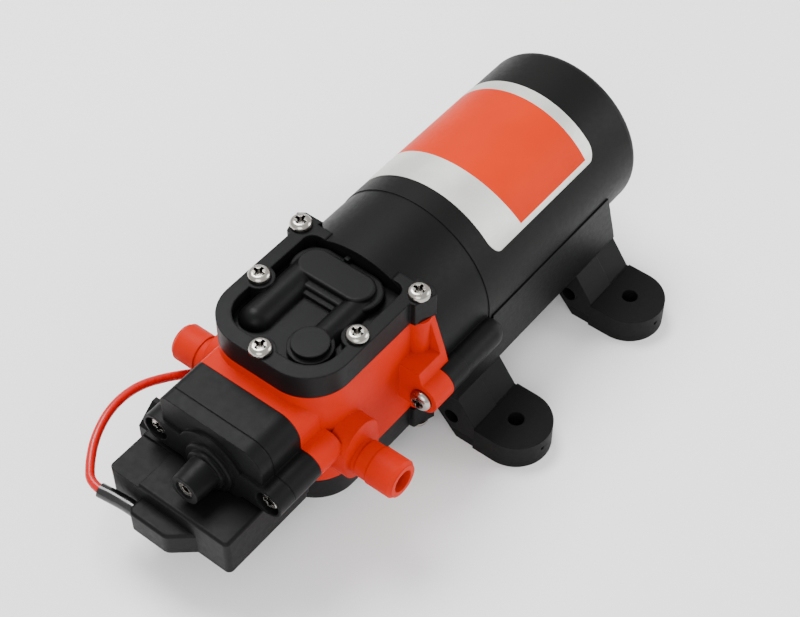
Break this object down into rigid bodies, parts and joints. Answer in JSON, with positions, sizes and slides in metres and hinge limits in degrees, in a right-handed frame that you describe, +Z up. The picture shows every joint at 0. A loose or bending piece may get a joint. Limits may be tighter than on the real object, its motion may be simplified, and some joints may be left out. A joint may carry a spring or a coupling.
{
  "type": "diaphragm water pump",
  "caption": "Small electric diaphragm water pump: round black motor on a rubber-footed base, orange valve head with two hose barbs, pressure switch and red switch lead.",
  "frame": {"origin": "on the floor plane, midway between the four foot holes", "axes": "+X along the motor axis towards its rear end, the pressure switch lies at -X; +Y is the side the red lead runs on; +Z is up"},
  "size_m": [0.1661, 0.097, 0.0622],
  "materials": {
    "orange_plastic": "satin",
    "head_plastic": "satin",
    "housing_plastic": "fine texture",
    "sleeve_finish": "fine texture",
    "label_film": "satin",
    "screw_steel": "bright",
    "dark_steel": "oiled",
    "plain_steel": "plain",
    "foot_rubber": "matt",
    "seal_rubber": "matt",
    "valve_rubber": "matt",
    "white_plastic": "satin",
    "copper": "bright",
    "winding_copper": "enamelled",
    "carbon": "matt",
    "magnet": "matt",
    "bronze": "matt",
    "terminal_brass": "bright",
    "micro_plastic": "satin",
    "button_red": "gloss",
    "lead_red": "gloss",
    "shrink_black": "gloss"
  },
  "bodies": {
    "housing": {"pump_body": "orange_plastic", "top_cover": "head_plastic", "bottom_cover": "head_plastic", "top_cover_screws": "screw_steel", "bottom_cover_screws": "screw_steel", "lug_screws": "screw_steel", "front_bell": "housing_plastic", "motor_sleeve": "sleeve_finish", "motor_label": "label_film", "motor_can": "plain_steel", "motor_end_plate": "white_plastic", "magnets": "magnet", "shaft_bearings": "bronze", "brush_holder": "white_plastic", "brush_spring_upper": "plain_steel", "brush_spring_lower": "plain_steel", "motor_base": "housing_plastic", "foot_front_left": "foot_rubber", "foot_front_right": "foot_rubber", "foot_rear_left": "foot_rubber", "foot_rear_right": "foot_rubber", "diaphragm_upper": "seal_rubber", "diaphragm_lower": "seal_rubber", "valve_plate_upper": "white_plastic", "valve_plate_lower": "white_plastic", "seals": "seal_rubber", "inlet_valves": "valve_rubber", "outlet_valves": "valve_rubber", "switch_body": "head_plastic", "switch_cap": "head_plastic", "switch_screws": "screw_steel", "switch_diaphragm": "seal_rubber", "switch_spring": "plain_steel", "micro_switch": "micro_plastic", "switch_terminals": "terminal_brass", "switch_box": "housing_plastic", "switch_box_lid": "housing_plastic", "red_lead": "lead_red", "lead_sleeve": "shrink_black", "lead_grommet": "seal_rubber"},
    "rotor": {"motor_shaft": "dark_steel", "armature_core": "plain_steel", "windings": "winding_copper", "commutator": "copper", "commutator_hub": "micro_plastic", "eccentric": "dark_steel", "set_screw": "screw_steel", "bearing_inner": "plain_steel"},
    "outer_race": {"bearing_ring": "plain_steel"},
    "ball_set": {"bearing_balls": "screw_steel"},
    "yoke_set": {"yoke": "white_plastic", "piston_upper": "white_plastic", "piston_lower": "white_plastic", "piston_screws": "screw_steel"},
    "plunger": {"switch_plunger": "white_plastic"},
    "button": {"micro_switch_button": "button_red"},
    "seat": {"spring_seat": "plain_steel"},
    "adjuster": {"adjusting_screw": "dark_steel"},
    "upper_brush": {"brush_upper": "carbon"},
    "lower_brush": {"brush_lower": "carbon"}
  },
  "joints": [
    {"name": "rotor_spin", "type": "hinge", "parent": "housing", "child": "rotor", "pos_m": [0, 0, 0.037], "axis": [1, 0, 0], "continuous": true},
    {"name": "outer_race_turn", "type": "hinge", "parent": "rotor", "child": "outer_race", "pos_m": [-0.063, 0, 0.0378], "axis": [1, 0, 0], "continuous": true},
    {"name": "ball_orbit", "type": "hinge", "parent": "rotor", "child": "ball_set", "pos_m": [-0.063, 0, 0.0378], "axis": [1, 0, 0], "continuous": true},
    {"name": "yoke_stroke", "type": "slide", "parent": "housing", "child": "yoke_set", "axis": [0, 0, 1], "range_m": [-0.0008, 0.0008], "stiffness_N_per_m": 2000, "deforming": ["diaphragm_upper", "diaphragm_lower"]},
    {"name": "plunger_slide", "type": "slide", "parent": "housing", "child": "plunger", "axis": [-1, 0, 0], "range_m": [0, 0.001], "stiffness_N_per_m": 3000, "springref_m": -0.002, "deforming": ["switch_spring"]},
    {"name": "button_press", "type": "slide", "parent": "housing", "child": "button", "axis": [-1, 0, 0], "range_m": [0, 0.0014]},
    {"name": "seat_advance", "type": "slide", "parent": "housing", "child": "seat", "axis": [1, 0, 0], "range_m": [0, 0.0014]},
    {"name": "adjuster_turn", "type": "hinge", "parent": "seat", "child": "adjuster", "pos_m": [-0.108, 0, 0.0353], "axis": [1, 0, 0], "range_deg": [0, 720]},
    {"name": "upper_brush_slide", "type": "slide", "parent": "housing", "child": "upper_brush", "axis": [0, 0, 1], "range_m": [0, 0.002], "stiffness_N_per_m": 150, "springref_m": -0.004, "deforming": ["brush_spring_upper"]},
    {"name": "lower_brush_slide", "type": "slide", "parent": "housing", "child": "lower_brush", "axis": [0, 0, -1], "range_m": [0, 0.002], "stiffness_N_per_m": 150, "springref_m": -0.004, "deforming": ["brush_spring_lower"]}
  ],
  "couplings": [
    {"joint": "outer_race_turn", "follows": "rotor_spin", "ratio": -1},
    {"joint": "ball_orbit", "follows": "rotor_spin", "ratio": -0.58},
    {"joint": "button_press", "follows": "plunger_slide", "ratio": 1},
    {"joint": "adjuster_turn", "follows": "seat_advance", "rad_per_m": 8976}
  ]
}
